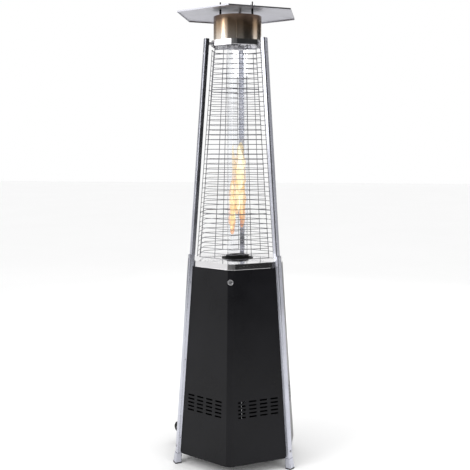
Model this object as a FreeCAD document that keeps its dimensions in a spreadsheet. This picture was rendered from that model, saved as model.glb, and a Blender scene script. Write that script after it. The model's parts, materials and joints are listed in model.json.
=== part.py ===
"""Free-standing gas patio heater: a tapering hexagonal tower on three legs.

Millimetres, +Z up, origin on the floor at the middle of the three feet. Angles round the tower are
counted from the front (-Y) towards +X, so the legs stand at -60, 60 and 180 degrees and the panels,
deck and guards bend half-way between them, at 0, 120 and -120 degrees.
"""
import FreeCAD, Part
import math
import os

import Sketcher
from FreeCAD import Placement, Rotation, Vector

DIMENSIONS = {
    # tower
    "hex_floor": 322.6,  # hexagon corner radius, carried down to the floor
    "hex_taper": 0.076,  # radius lost per unit of height
    "sheet": 1.2,
    "bend_cut": 16.0,  # length taken off each face by the flat at a bend
    "edge_gap": 16.2,  # panel edge beside a leg, from the leg's centre plane
    # legs and posts
    "leg_floor": 318.6,
    "leg_lean": 4.346,
    "leg_start": 10.0,
    "leg_top": 1031.0,
    "leg_wide": 30.0,
    "leg_deep": 24.0,
    "leg_wall": 1.5,
    "leg_round": 5.0,
    "post_top": 2059.0,
    "post_deep": 19.0,
    "post_shift": 4.0,
    "post_round": 6.0,
    "joiner_low": 950.0,
    "joiner_long": 150.0,
    "joiner_wide": 26.0,
    "joiner_deep": 11.0,
    "shoe_tall": 51.0,
    "shoe_flare": 4.0,
    "pad_thick": 6.0,
    # base
    "panel_low": 52.0,
    "panel_high": 972.0,
    "flange_deep": 14.0,
    "floor_plate": 58.0,
    "floor_thick": 2.0,
    "slot_long": 39.0,
    "slot_tall": 8.0,
    "slot_pitch": 56.0,
    "slot_rise": 18.0,
    "slot_height": 315.0,
    "pivot_out": 276.0,
    "pivot_height": 66.0,
    "pivot_radius": 3.0,
    "pivot_half": 50.0,
    "lock_height": 918.0,
    "lock_radius": 13.0,
    # deck, burner and glass
    "deck_low": 974.0,
    "deck_high": 1002.0,
    "deck_round": 52.0,
    "bowl_radius": 77.0,
    "bowl_deep": 62.0,
    "tube_radius": 50.0,
    "tube_wall": 2.5,
    "tube_low": 1009.0,
    "tube_high": 2062.0,
    # top
    "frame_low": 2020.0,
    "frame_high": 2046.0,
    "frame_hex": 291.4,  # corner radius of the top frame, carried down to the floor
    "frame_round": 38.0,
    "collar_radius": 114.5,
    "collar_high": 2161.0,
    "rim_radius": 304.5,
    "rim_height": 2172.0,
    "apex_height": 2200.0,
    "stud_ring": 88.0,
    "stud_radius": 3.0,
    "stud_top": 2224.0,
    # guards
    "guard_low": 1019.0,
    "guard_high": 2001.0,
    "guard_floor": 298.0,
    "guard_taper": 0.082,
    "wire_radius": 1.5,
    "rod_radius": 2.5,
    # controls
    "panel_out": 150.0,
    "valve_height": 820.0,
    "knob_radius": 24.0,
    "button_radius": 8.0,
    # wheels
    "wheel_radius": 30.0,
    "wheel_wide": 20.0,
    "wheel_out": 352.0,
    "wheel_side": 43.0,
    "wheel_height": 70.0,
    "axle_radius": 4.0,
    # clearances
    "running": 0.06,
}
LEGS = {"left": -60.0, "right": 60.0, "rear": 180.0}
BENDS = {"front": 0.0, "rear_right": 120.0, "rear_left": -120.0}
GUARD_WIRES = 43
THICK_WIRES = (9, 34, 42)
SLOT_ROWS = 5
SLOT_COLUMNS = 4
# holes and where the fasteners sit along a leg or post
BOLT_HOLE = 3.2
SCREW_HOLE = 2.2
LEG_BOLTS = (84.0, 1022.0)
POST_BOLTS = (1990.0, 2038.0)
PANEL_SCREWS = (130.0, 520.0, 900.0)
# sheet metal details
TAB_THICK = 2.0
PLATE_INSET = 20.0
CORNER_ROUND = 12.0
# lock and valve radii and depths
LOCK_BODY = 10.0
LOCK_DEEP = 20.0
LOCK_CORE = 5.5
# length that the deck and the top frame lose beside each leg
DECK_CUT = 34.0
FRAME_CUT = 15.0
DECK_SCREW = 985.0
BOWL_NECK = 66.0
STEM_RADIUS = 4.0
RIM_LIP = 6.0
# vent holes in the floor; one of them is right below the gas inlet
VENT_RING = 132.2
VENT_START = -17.6
VENT_RADIUS = 16.0
FLOOR_HOLE = 60.0
COS30 = math.cos(math.radians(30))
UP = Vector(0, 0, 1)
OUT = Vector(0, -1, 0)

doc = FreeCAD.newDocument("patio_heater")
sheet = doc.addObject("Spreadsheet::Sheet", "Dims")
parts = []


class Size:
    """A dimension that knows both its number and the spreadsheet expression behind it."""

    def __init__(self, value, text):
        self.value = value
        self.text = text

    def _join(self, sign, other, value):
        text = other.text if isinstance(other, Size) else repr(other)
        return Size(value, f"({self.text} {sign} {text})")

    def __add__(self, other):
        return self._join("+", other, self.value + number(other))

    def __sub__(self, other):
        return self._join("-", other, self.value - number(other))

    def __mul__(self, other):
        return self._join("*", other, self.value * number(other))

    def __truediv__(self, other):
        return self._join("/", other, self.value / number(other))

    def __neg__(self):
        return Size(-self.value, f"(0 - {self.text})")


def number(size):
    return float(size.value if isinstance(size, Size) else size)


def fill_sheet():
    for row, (alias, value) in enumerate(DIMENSIONS.items(), start=1):
        sheet.set(f"A{row}", alias)
        sheet.set(f"B{row}", str(value))
        sheet.setAlias(f"B{row}", alias)
    doc.recompute()
    return {alias: float(getattr(sheet, alias)) for alias in DIMENSIONS}


VALUE = fill_sheet()


def dim(alias):
    """The named dimension as an expression-bound size."""
    return Size(VALUE[alias], f"Dims.{alias}")


# ---------------------------------------------------------------- places

def spin(angle):
    """Turns what is drawn for the front round to another side of the tower."""
    return Placement(Vector(), Rotation(UP, angle))


def leg_place(angle):
    """Frame on a leg: Z up along it, -Y outward, origin where its axis meets the floor."""
    lean = Rotation(Vector(1, 0, 0), -VALUE["leg_lean"])
    return spin(angle) * Placement(Vector(0, -VALUE["leg_floor"], 0), lean)


def hex_radius(height, floor="hex_floor"):
    return VALUE[floor] - VALUE["hex_taper"] * height


def face_place(angle, height):
    """Frame on a flat face whose middle is at this angle: X across, Y up the face, Z outward."""
    tilt = math.degrees(math.atan(VALUE["hex_taper"] * COS30))
    spot = Vector(0, -hex_radius(height) * COS30, height)
    return spin(angle) * Placement(spot, Rotation(Vector(1, 0, 0), 90 - tilt))


def facing(x, y, z):
    """Frame whose Z axis points to the front (-Y)."""
    return Placement(Vector(x, y, z), Rotation(Vector(1, 0, 0), 90))


# ---------------------------------------------------------------- PartDesign helpers

def new_body(label, place=None):
    body = doc.addObject("PartDesign::Body", label)
    body.Placement = place or Placement()
    parts.append(body)
    return body


def new_sketch(body, role="XY_Plane", lift=None):
    sketch = body.newObject("Sketcher::SketchObject", f"{body.Name}_sketch")
    origin_plane = next(f for f in body.Origin.OriginFeatures if f.Role == role)
    sketch.AttachmentSupport = [(origin_plane, "")]
    sketch.MapMode = "FlatFace"
    if lift is not None:
        sketch.AttachmentOffset = Placement(Vector(0, 0, number(lift)), Rotation())
        bind(sketch, "AttachmentOffset.Base.z", lift)
    return sketch


def bind(thing, name, size):
    if isinstance(size, Size):
        thing.setExpression(name, size.text)


def hold(sketch, geometry, point, x, y):
    """Pins a sketch point to its place with distances bound to the sheet."""
    for kind, axis, size in (("DistanceX", -2, x), ("DistanceY", -1, y)):
        if number(size) == 0:
            sketch.addConstraint(Sketcher.Constraint("PointOnObject", geometry, point, axis))
            continue
        rule = Sketcher.Constraint(kind, -1, 1, geometry, point, number(size))
        index = sketch.addConstraint(rule)
        bind(sketch, f"Constraints[{index}]", size)


def outline(sketch, corners):
    """A closed outline through corners, given as pairs of sizes."""
    first = sketch.GeometryCount
    spots = [Vector(number(x), number(y), 0) for x, y in corners]
    count = len(spots)
    for index, spot in enumerate(spots):
        sketch.addGeometry(Part.LineSegment(spot, spots[(index + 1) % count]))
    for index in range(count):
        following = first + (index + 1) % count
        sketch.addConstraint(Sketcher.Constraint("Coincident", first + index, 2, following, 1))
    for index, (x, y) in enumerate(corners):
        hold(sketch, first + index, 1, x, y)


def rectangle(sketch, wide, deep, x=0.0, y=0.0):
    """A rectangle centred on x, y, which may be sizes."""
    left, right = wide / -2 + x, wide / 2 + x
    low, high = deep / -2 + y, deep / 2 + y
    outline(sketch, [(left, low), (right, low), (right, high), (left, high)])


def circle(sketch, radius, x=0.0, y=0.0):
    spot = Vector(number(x), number(y), 0)
    index = sketch.addGeometry(Part.Circle(spot, UP, number(radius)))
    hold(sketch, index, 3, x, y)
    rule = sketch.addConstraint(Sketcher.Constraint("Radius", index, number(radius)))
    bind(sketch, f"Constraints[{rule}]", radius)


def pad(body, sketch, length):
    feature = body.newObject("PartDesign::Pad", f"{body.Name}_pad")
    feature.Profile = sketch
    feature.Length = number(length)
    bind(feature, "Length", length)
    return feature


def pocket(body, sketch):
    """Cuts the sketch through the whole body, both ways."""
    feature = body.newObject("PartDesign::Pocket", f"{body.Name}_pocket")
    feature.Profile = sketch
    feature.Type = "ThroughAll"
    feature.Midplane = True
    return feature


def round_edges(body, radius, chosen):
    """Fillets the edges of the last feature that chosen(edge) accepts."""
    doc.recompute()
    base = body.Tip
    names = [f"Edge{n}" for n, e in enumerate(base.Shape.Edges, 1) if chosen(e)]
    feature = body.newObject("PartDesign::Fillet", f"{body.Name}_fillet")
    feature.Base = (base, names)
    feature.Radius = number(radius)
    bind(feature, "Radius", radius)
    return feature


def turned(label, profile, place=None):
    """A body turned about its own Z axis from a profile of (radius, height) sizes."""
    body = new_body(label, place)
    sketch = new_sketch(body, "XZ_Plane")
    outline(sketch, profile)
    feature = body.newObject("PartDesign::Revolution", f"{label}_turn")
    feature.Profile = sketch
    feature.ReferenceAxis = (sketch, ["V_Axis"])
    feature.Angle = 360
    return body


def tube_profile(inner, outer, low, high):
    return [(inner, low), (outer, low), (outer, high), (inner, high)]


# ---------------------------------------------------------------- Part helpers

def feature(label, shape, place=None):
    made = doc.addObject("Part::Feature", label)
    made.Shape = shape
    if place:
        made.Placement = place
    parts.append(made)
    return made


def moved(shape, place):
    copy = shape.copy()
    copy.Placement = place * copy.Placement
    return copy


def block(wide, deep, tall, centre):
    """A box centred in X and Y and standing on centre.z."""
    corner = centre - Vector(wide / 2, deep / 2, 0)
    return Part.makeBox(wide, deep, tall, corner)


def rod(radius, start, end):
    along = end - start
    return Part.makeCylinder(radius, along.Length, start, along)


def hex_points(radius, leg_cut, bend_cut, height):
    """Corners of a level hexagon whose corners are cut back along both of their faces."""
    points = []
    for angle in range(-60, 300, 60):
        cut = leg_cut if angle in (-60, 60, 180) else bend_cut
        corner = spin(angle).multVec(Vector(0, -radius, height))
        before = spin(angle - 60).multVec(Vector(0, -radius, height))
        after = spin(angle + 60).multVec(Vector(0, -radius, height))
        if cut == 0:
            points.append(corner)
            continue
        points.append(corner + (before - corner).normalize() * cut)
        points.append(corner + (after - corner).normalize() * cut)
    return points


def loop(points):
    return Part.makePolygon(points + points[:1])


def rounded_loop(points, is_round):
    """A loop in which each cut that is_round(index) names is an arc tangent to its neighbours."""
    edges = []
    count = len(points)
    for index in range(count):
        here, after = points[index], points[(index + 1) % count]
        if not is_round(index):
            edges.append(Part.LineSegment(here, after).toShape())
            continue
        before, beyond = points[index - 1], points[(index + 2) % count]
        corner_side = (here - before).normalize() + (after - beyond).normalize()
        chord = after - here
        bulge = chord.Length / 2 * math.tan(math.radians(15))
        middle = (here + after) / 2 + corner_side.normalize() * bulge
        edges.append(Part.Arc(here, middle, after).toShape())
    return Part.Wire(edges)


def rounded_rectangle(wide, deep, radius, centre):
    """A level rounded rectangle as a wire, its straights and quarter arcs in turn."""
    edges = []
    slant = radius * (1 - math.sqrt(0.5))
    for turn in range(4):
        half_x, half_y = (wide / 2, deep / 2) if turn % 2 == 0 else (deep / 2, wide / 2)
        place = Placement(centre, Rotation(UP, 90 * turn))
        start, end = Vector(-half_x + radius, -half_y, 0), Vector(half_x - radius, -half_y, 0)
        middle, leave = Vector(half_x - slant, -half_y + slant, 0), Vector(half_x, -half_y + radius, 0)
        start, end, middle, leave = [place.multVec(p) for p in (start, end, middle, leave)]
        edges += [Part.LineSegment(start, end).toShape(), Part.Arc(end, middle, leave).toShape()]
    return Part.Wire(edges)


def tapered(low, high):
    """The solid between two level loops whose edges match one to one."""
    walls = []
    for below, above in zip(low.Edges, high.Edges):
        if isinstance(below.Curve, Part.Line):
            (a, b), (c, d) = [[v.Point for v in e.Vertexes] for e in (below, above)]
            walls.append(Part.Face(Part.makePolygon([a, b, d, c, a])))
        else:
            walls.append(Part.makeRuledSurface(below, above))
    shell = Part.makeShell(walls + [Part.Face(low), Part.Face(high)])
    shell.sewShape()
    solid = Part.makeSolid(shell)
    if solid.Volume < 0:
        solid.reverse()
    return solid


def tower(low, high, inset=0.0, floor="hex_floor", leg_cut=0.0, bend_cut=None, rounded=False):
    """The tapering hexagonal tower between two heights, its walls set in by inset."""
    bend_cut = VALUE["bend_cut"] if bend_cut is None else bend_cut
    trim = inset * 2 * (1 / COS30 - 1)
    cuts = [max(cut - trim, 0) if cut else 0 for cut in (leg_cut, bend_cut)]
    loops = []
    for height in (low, high):
        points = hex_points(hex_radius(height, floor) - inset / COS30, *cuts, height)
        loops.append(rounded_loop(points, lambda i: i % 4 == 2) if rounded else loop(points))
    return tapered(*loops)


def sector(angle, gap, low, high):
    """The room between two neighbouring legs, keeping gap from each leg's centre plane."""
    reach = 700
    tip = Vector(0, -gap / math.sin(math.radians(60)), low)
    sides = [tip + spin(side).multVec(OUT) * reach for side in (-60, 60)]
    front = Vector(0, -2 * reach, low)
    face = Part.Face(loop([tip, sides[0], front, sides[1]]))
    return moved(face.extrude(UP * (high - low)), spin(angle))


def pipe(points, radius):
    """A tube on straight runs joined by arcs as large as their runs allow; prints its size."""
    edges = []
    start = points[0]
    tightest = math.inf
    for before, corner, after in zip(points, points[1:], points[2:]):
        inward, onward = corner - before, after - corner
        turn = inward.getAngle(onward)
        bend = 0.45 * min(inward.Length, onward.Length) / math.tan(turn / 2)
        tightest = min(tightest, bend)
        setback = bend * math.tan(turn / 2)
        enter = corner - inward.normalize() * setback
        leave = corner + onward.normalize() * setback
        inner = (onward - inward).normalize()
        depth = bend / math.cos(turn / 2) - bend
        edges.append(Part.LineSegment(start, enter).toShape())
        edges.append(Part.Arc(enter, corner + inner * depth, leave).toShape())
        start = leave
    edges.append(Part.LineSegment(start, points[-1]).toShape())
    path = Part.Wire(edges)
    ring = Part.Wire(Part.makeCircle(radius, points[0], points[1] - points[0]))
    solid = path.makePipeShell([ring], True, False, 2)
    share = solid.Volume / (math.pi * radius ** 2 * path.Length)
    print(f"pipe: length {path.Length:.0f}, tightest bend {tightest:.1f}, volume share {share:.4f}")
    return solid


def group(label, shapes):
    """One node that holds several identical loose pieces."""
    return feature(label, Part.makeCompound(shapes))


# ---------------------------------------------------------------- legs and posts

def round_outside(body, radius, face):
    """Rounds a hollow section's two outer corners, inside and outside, at its face in Y."""
    def upright_at(x, y):
        def chosen(edge):
            centre = edge.CenterOfMass
            upright = abs(edge.tangentAt(edge.FirstParameter).z) > 0.999
            return upright and abs(abs(centre.x) - number(x)) < 0.01 and abs(centre.y - number(y)) < 0.01
        return chosen

    half, wall = dim("leg_wide") / 2, dim("leg_wall")
    round_edges(body, radius, upright_at(half, face))
    round_edges(body, radius - wall, upright_at(half - wall, face + wall))


def make_leg(side, angle):
    wide, deep, wall = dim("leg_wide"), dim("leg_deep"), dim("leg_wall")
    body = new_body(f"leg_{side}", leg_place(angle))
    section = new_sketch(body, lift=dim("leg_start"))
    rectangle(section, wide, deep)
    rectangle(section, wide - wall * 2, deep - wall * 2)
    pad(body, section, dim("leg_top") - dim("leg_start"))
    round_outside(body, dim("leg_round"), -deep / 2)
    cap = new_sketch(body, lift=dim("leg_top") - wall)
    rectangle(cap, wide - wall * 2, deep - wall * 6, y=wall * 2)
    rectangle(cap, dim("joiner_wide") + 0.4, dim("joiner_deep") + 0.4, y=dim("post_shift"))
    pad(body, cap, wall)
    bolts = new_sketch(body, "XZ_Plane")
    for height in LEG_BOLTS:
        circle(bolts, BOLT_HOLE, y=height)
    pocket(body, bolts)
    screws = new_sketch(body, "YZ_Plane")
    for height in PANEL_SCREWS:
        circle(screws, SCREW_HOLE, y=height)
    pocket(body, screws)


def make_post(side, angle):
    wide, deep, wall = dim("leg_wide"), dim("post_deep"), dim("leg_wall")
    shift = dim("post_shift")
    body = new_body(f"post_{side}", leg_place(angle))
    section = new_sketch(body, lift=dim("leg_top"))
    rectangle(section, wide, deep, y=shift)
    rectangle(section, wide - wall * 2, deep - wall * 2, y=shift)
    pad(body, section, dim("post_top") - dim("leg_top"))
    round_outside(body, dim("post_round"), shift - deep / 2)
    cap = new_sketch(body, lift=dim("post_top") - wall)
    rectangle(cap, wide - wall * 2, deep - wall * 6, y=shift + wall * 2)
    pad(body, cap, wall)
    bolts = new_sketch(body, "XZ_Plane")
    for height in POST_BOLTS:
        circle(bolts, BOLT_HOLE, y=height)
    pocket(body, bolts)


def make_joiners():
    """Solid bars inside the legs and posts, one across each joint between the two."""
    wide, deep = VALUE["joiner_wide"], VALUE["joiner_deep"]
    bar = block(wide, deep, VALUE["joiner_long"], Vector(0, VALUE["post_shift"], VALUE["joiner_low"]))
    bar = bar.cut(rod(BOLT_HOLE, Vector(0, -50, LEG_BOLTS[-1]), Vector(0, 50, LEG_BOLTS[-1])))
    group("joiners", [moved(bar, leg_place(angle)) for angle in LEGS.values()])


def foot_shoe(angle):
    """Flared foot shoe, upright on the floor, round the lower end of a leg."""
    tall, thick, flare = VALUE["shoe_tall"], VALUE["pad_thick"], VALUE["shoe_flare"]
    wide, deep = VALUE["leg_wide"] + 4, VALUE["leg_deep"] + 4

    def level(height, grow):
        middle = -VALUE["leg_floor"] + VALUE["hex_taper"] * height - grow / 2
        return rounded_rectangle(wide + grow, deep + grow, 5.0, Vector(0, middle, height))

    waist = tall * 0.55
    shoe = tapered(level(thick, flare), level(waist, flare * 0.25))
    shoe = shoe.fuse(tapered(level(waist, flare * 0.25), level(tall, 0.0)))
    sleeve = block(VALUE["leg_wide"] + 0.3, VALUE["leg_deep"] + 0.3, tall * 2,
                   Vector(0, 0, VALUE["leg_start"]))
    lean_only = spin(-angle) * leg_place(angle)
    shoe = shoe.cut(moved(sleeve, lean_only))
    return moved(shoe, spin(angle))


def foot_pad(angle):
    """Rubber pad between a shoe and the floor."""
    flare = VALUE["shoe_flare"]
    wide, deep = VALUE["leg_wide"] + 5 + flare, VALUE["leg_deep"] + 5 + flare
    middle = Vector(0, -VALUE["leg_floor"] - flare / 2 + 0.4, 0)
    shape = block(wide, deep, VALUE["pad_thick"], middle)
    upright = [e for e in shape.Edges if abs(e.tangentAt(0).z) > 0.9]
    return moved(shape.makeFillet(5.0, upright), spin(angle))


# ---------------------------------------------------------------- fasteners


def dome_bolt(grip):
    """Dome-headed bolt along +Y; the head's seat is at the origin, its shank grip long."""
    dome = Part.makeSphere(8.5, Vector(0, 4.5, 0), Vector(0, -1, 0), 0, 90)
    head = dome.common(Part.makeCylinder(6.0, 8, Vector(), OUT))
    return head.fuse(Part.makeCylinder(3.0, grip, Vector(), -OUT)).removeSplitter()


def hex_nut(radius=5.0, thick=4.0, bore=3.05):
    """Hexagon nut with its seat at the origin and its body along +Y."""
    corners = [Vector(radius / COS30 * math.sin(math.radians(a)), 0,
                      radius / COS30 * math.cos(math.radians(a))) for a in range(0, 360, 60)]
    body = Part.Face(loop(corners)).extrude(-OUT * thick)
    return body.cut(Part.makeCylinder(bore, thick, Vector(), -OUT))


def make_fasteners():
    """Bolts through the legs and posts, all the nuts, and the spacers of the top frame."""
    deep, shift = VALUE["leg_deep"] / 2, VALUE["post_shift"]
    post_out = shift - VALUE["post_deep"] / 2
    post_in = shift + VALUE["post_deep"] / 2
    wall = VALUE["leg_wall"]
    bolts, nuts, frame_bolts, spacers = [], [], [], []
    for angle in LEGS.values():
        frame = leg_place(angle)
        for height, seat, grip, nut in (
            (LEG_BOLTS[0], -deep, 2 * deep + 7, deep + TAB_THICK),
            (LEG_BOLTS[1], -deep, 2 * deep + 5, deep),
            (POST_BOLTS[0], post_out, post_in - post_out + 5, post_in),
        ):
            bolts.append(moved(dome_bolt(grip), frame * Placement(Vector(0, seat, height), Rotation())))
            nuts.append(moved(hex_nut(), frame * Placement(Vector(0, nut, height), Rotation())))
        height = POST_BOLTS[1]
        inner = frame_skirt_depth()
        half_turn = Rotation(UP, 180)
        spacer_long = inner - VALUE["sheet"] - post_in
        tube = Part.makeCylinder(7.0, spacer_long, Vector(), -OUT)
        tube = tube.cut(Part.makeCylinder(3.1, spacer_long, Vector(), -OUT))
        spacers.append(moved(tube, frame * Placement(Vector(0, post_in, height), Rotation())))
        seat = Placement(Vector(0, inner + 0.15, height), half_turn)
        frame_bolts.append(moved(dome_bolt(inner - post_in + wall + 5), frame * seat))
        nut_seat = Placement(Vector(0, post_in - wall, height), half_turn)
        nuts.append(moved(hex_nut(), frame * nut_seat))
        stud_seat = Vector(0, -VALUE["stud_ring"], VALUE["frame_high"] - VALUE["sheet"])
        under = Placement(stud_seat, Rotation(Vector(1, 0, 0), -90))
        nuts.append(moved(hex_nut(), spin(angle) * under))
    group("dome_bolts", bolts)
    group("hex_nuts", nuts)
    group("frame_bolts", frame_bolts)
    group("frame_spacers", spacers)


def frame_skirt_depth():
    """Inner side of the top frame's cut corner, in a leg's own frame."""
    corner = hex_radius(0, "frame_hex") - FRAME_CUT / 2 - VALUE["sheet"]
    return (VALUE["leg_floor"] - corner) * math.cos(math.radians(VALUE["leg_lean"]))


def make_panel_screws():
    """Pan-head screws that hold each side panel's flanges to the legs."""
    screws = []
    for leg, sides in (("left", (-1,)), ("right", (1,)), ("rear", (-1, 1))):
        for side in sides:
            for height in PANEL_SCREWS:
                head = Part.makeCylinder(4.0, 2.4, Vector(0, 0, 0), OUT)
                shank = Part.makeCylinder(2.0, 8.0, Vector(0, 0, 0), -OUT)
                seat = VALUE["edge_gap"] + VALUE["sheet"]
                turn = Rotation(UP, 90 if side > 0 else -90)
                place = Placement(Vector(side * seat, 0, height), turn)
                screws.append(moved(head.fuse(shank).removeSplitter(), leg_place(LEGS[leg]) * place))
    group("panel_screws", screws)


# ---------------------------------------------------------------- base


def bent_panel(angle, gap, with_lips):
    """Folded sheet between two legs: two flat faces, a flat at the bend, and edge flanges."""
    low, high, sheet_thick = VALUE["panel_low"], VALUE["panel_high"], VALUE["sheet"]
    deep = VALUE["flange_deep"]
    inside = tower(low, high, sheet_thick)
    core = tower(low, high, sheet_thick + deep)
    room = sector(0, gap, low, high)
    panel = tower(low, high).cut(inside).common(room)
    for side in (-30, 30):
        panel = panel.cut(corner_round(side, gap))
        panel = panel.cut(moved(slot_pattern(), face_place(side, VALUE["slot_height"])))
    fold_start = low + CORNER_ROUND + 1
    edge_room = room.cut(sector(0, gap + sheet_thick, low, high))
    edge_room = edge_room.common(block(900, 900, high - fold_start, Vector(0, 0, fold_start)))
    panel = panel.fuse(inside.cut(core).common(edge_room))
    lip_deep = tower(low, high, sheet_thick + 12)
    lips = [low] + ([high - sheet_thick] if with_lips else [])
    for height in lips:
        trimmed = sector(0, gap + CORNER_ROUND + 6, height, height + sheet_thick)
        panel = panel.fuse(inside.cut(lip_deep).common(trimmed))
    for leg, side in ((-60, 1), (60, -1)):
        for height in PANEL_SCREWS if with_lips else ():
            hole = Part.makeCylinder(SCREW_HOLE, 20, Vector(side * 6, 0, height),
                                     Vector(side, 0, 0))
            panel = panel.cut(moved(hole, leg_place(leg)))
    return moved(panel.removeSplitter(), spin(angle))


def corner_round(side, gap):
    """Tool that rounds a panel's lower corner beside a leg."""
    low = VALUE["panel_low"]
    half = hex_radius(low) / 2 - gap / COS30
    sign = 1 if side > 0 else -1
    size, margin = CORNER_ROUND, 3.0
    square = Part.makeBox(size + margin, size + margin, 20)
    square.translate(Vector(half - size, -margin, -10))
    disc = Part.makeCylinder(size, 20, Vector(half - size, size, -10))
    tool = square.cut(disc)
    if sign < 0:
        tool = tool.mirror(Vector(), Vector(1, 0, 0))
    return moved(tool, face_place(side, low))


def slot_pattern():
    """The grid of vent slots in one face, centred on the origin and cut along Z."""
    long, tall = VALUE["slot_long"], VALUE["slot_tall"]
    slots = []
    for column in range(SLOT_COLUMNS):
        for row in range(SLOT_ROWS):
            x = (column - (SLOT_COLUMNS - 1) / 2) * VALUE["slot_pitch"]
            y = (row - (SLOT_ROWS - 1) / 2) * VALUE["slot_rise"]
            slot = Part.makeBox(long, tall, 12, Vector(x - long / 2, y - tall / 2, -6))
            ends = [e for e in slot.Edges if abs(e.tangentAt(0).z) > 0.9]
            slots.append(slot.makeFillet(tall * 0.35, ends))
    return Part.makeCompound(slots)


def make_side_panels():
    for name in ("rear_left", "rear_right"):
        feature(f"side_panel_{name}", bent_panel(BENDS[name], VALUE["edge_gap"], True))


def make_door():
    """Front panel: knuckles on its lower lip turn on the pivot rod, and a lock passes its flat."""
    panel = bent_panel(0, VALUE["edge_gap"] + 0.6, False)
    out, height = VALUE["pivot_out"], VALUE["pivot_height"]
    bottom = VALUE["panel_low"]
    for x in (-45, 45):
        ear = block(4, 20, height - bottom, Vector(x, -out - 6, bottom))
        ear = ear.fuse(Part.makeCylinder(7, 4, Vector(x - 2, -out, height), Vector(1, 0, 0)))
        ear = ear.common(tower(bottom, height + 20, VALUE["sheet"]))
        panel = panel.fuse(ear).cut(pivot_bore(x))
    hole = Part.makeCylinder(LOCK_BODY + 0.2, 20, Vector(0, 0, -10), UP)
    panel = panel.cut(moved(hole, lock_place()))
    feature("front_door", panel.removeSplitter())
    turned("door_pivot_rod", [(0, 0), (dim("pivot_radius"), 0),
                              (dim("pivot_radius"), dim("pivot_half") * 2),
                              (0, dim("pivot_half") * 2)],
           Placement(Vector(-VALUE["pivot_half"], -out, height), Rotation(Vector(0, 1, 0), 90)))


def lock_place():
    """Frame on the flat at the front bend: Z outward, at the lock's height."""
    height = VALUE["lock_height"]
    out = hex_radius(height) - VALUE["bend_cut"] / 2
    return Placement(Vector(0, -out, height), Rotation(Vector(1, 0, 0), 90 - VALUE["leg_lean"]))


def make_lock():
    """Quarter-turn lock: bezel and barrel fixed in the door, core and cam turning in them."""
    bezel = Part.makeCylinder(VALUE["lock_radius"], 3, Vector(0, 0, 0), UP)
    bezel = bezel.makeChamfer(1.2, [e for e in bezel.Edges if e.CenterOfMass.z > 2.9])
    barrel = Part.makeCylinder(LOCK_BODY, LOCK_DEEP, Vector(0, 0, -LOCK_DEEP), UP)
    bore = Part.makeCylinder(LOCK_CORE + VALUE["running"], 60, Vector(0, 0, -40), UP)
    nut = Part.makeCylinder(12, 4, Vector(0, 0, -VALUE["sheet"] - 4), UP)
    feature("lock_barrel", bezel.fuse([barrel, nut]).cut(bore).removeSplitter(), lock_place())
    core = Part.makeCylinder(LOCK_CORE, LOCK_DEEP + 8, Vector(0, 0, -LOCK_DEEP - 6), UP)
    keyway = Part.makeCylinder(4.6, 10, Vector(0, 0, -4), UP)
    triangle = loop([Vector(3.6 * math.sin(math.radians(a)), 3.6 * math.cos(math.radians(a)), -6)
                     for a in (0, 120, 240)])
    stub = Part.Face(triangle).extrude(UP * 6)
    core = core.cut(keyway).fuse(stub).removeSplitter()
    feature("lock_core", core, lock_place())
    cam = block(14, 14, 3, Vector(0, 0, -LOCK_DEEP - 4)).fuse(
        block(34, 12, 3, Vector(-15, 0, -LOCK_DEEP - 4)))
    cam = cam.cut(Part.makeCylinder(LOCK_CORE, 10, Vector(0, 0, -LOCK_DEEP - 6), UP))
    feature("lock_cam", cam.removeSplitter(), lock_place())


def pivot_bore(x):
    """Running bore for the door's pivot rod, through a plate at this x."""
    out, height = VALUE["pivot_out"], VALUE["pivot_height"]
    radius = VALUE["pivot_radius"] + VALUE["running"]
    return rod(radius, Vector(x - 5, -out, height), Vector(x + 5, -out, height))


def make_floor_plate():
    """Folded floor: tongues reach the legs, and ears at the front carry the door's pivot."""
    low, thick = VALUE["floor_plate"], VALUE["floor_thick"]
    plate = tower(low, low + thick, PLATE_INSET)
    plate = plate.cut(Part.makeCylinder(FLOOR_HOLE, thick + 2, Vector(0, 0, low - 1)))
    for angle in range(0, 360, 45):
        hole = Part.makeCylinder(VENT_RADIUS, thick + 2, Vector(0, -VENT_RING, low - 1))
        plate = plate.cut(moved(hole, spin(VENT_START + angle)))
    for angle in LEGS.values():
        leg_inside = VALUE["leg_deep"] / 2
        tab = Part.makeBox(26, TAB_THICK, 42, Vector(-13, leg_inside, low))
        tab = tab.cut(Part.makeCylinder(BOLT_HOLE, 20, Vector(0, 0, LEG_BOLTS[0]), -OUT))
        reach = Part.makeBox(26, 60, thick, Vector(-13, -VALUE["leg_floor"] + 18.5, low))
        cutter = moved(Part.makeBox(80, 40, 200, Vector(-40, leg_inside - 40, 0)), leg_place(angle))
        plate = plate.fuse(moved(reach, spin(angle))).fuse(moved(tab, leg_place(angle))).cut(cutter)
    out, height = VALUE["pivot_out"], VALUE["pivot_height"]
    for x in (-45, 45):
        plate = plate.cut(block(12, 60, 6, Vector(x, -out - 16, low - 2)))
    for x in (-32, 32):
        ear = block(3, 34, 16, Vector(x, -out + 9, low))
        plate = plate.fuse(ear).cut(pivot_bore(x))
    feature("floor_plate", plate.removeSplitter())


def make_cylinder_stops():
    """Three angle brackets that keep a gas cylinder in the middle of the floor."""
    stops = []
    top = VALUE["floor_plate"] + VALUE["floor_thick"]
    for angle in (-120, 0, 120):
        foot = block(30, 22, 2, Vector(0, -176, top))
        wall = block(30, 2, 24, Vector(0, -166, top))
        stops.append(moved(foot.fuse(wall).removeSplitter(), spin(angle)))
    group("cylinder_stops", stops)


# ---------------------------------------------------------------- deck and burner


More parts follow.
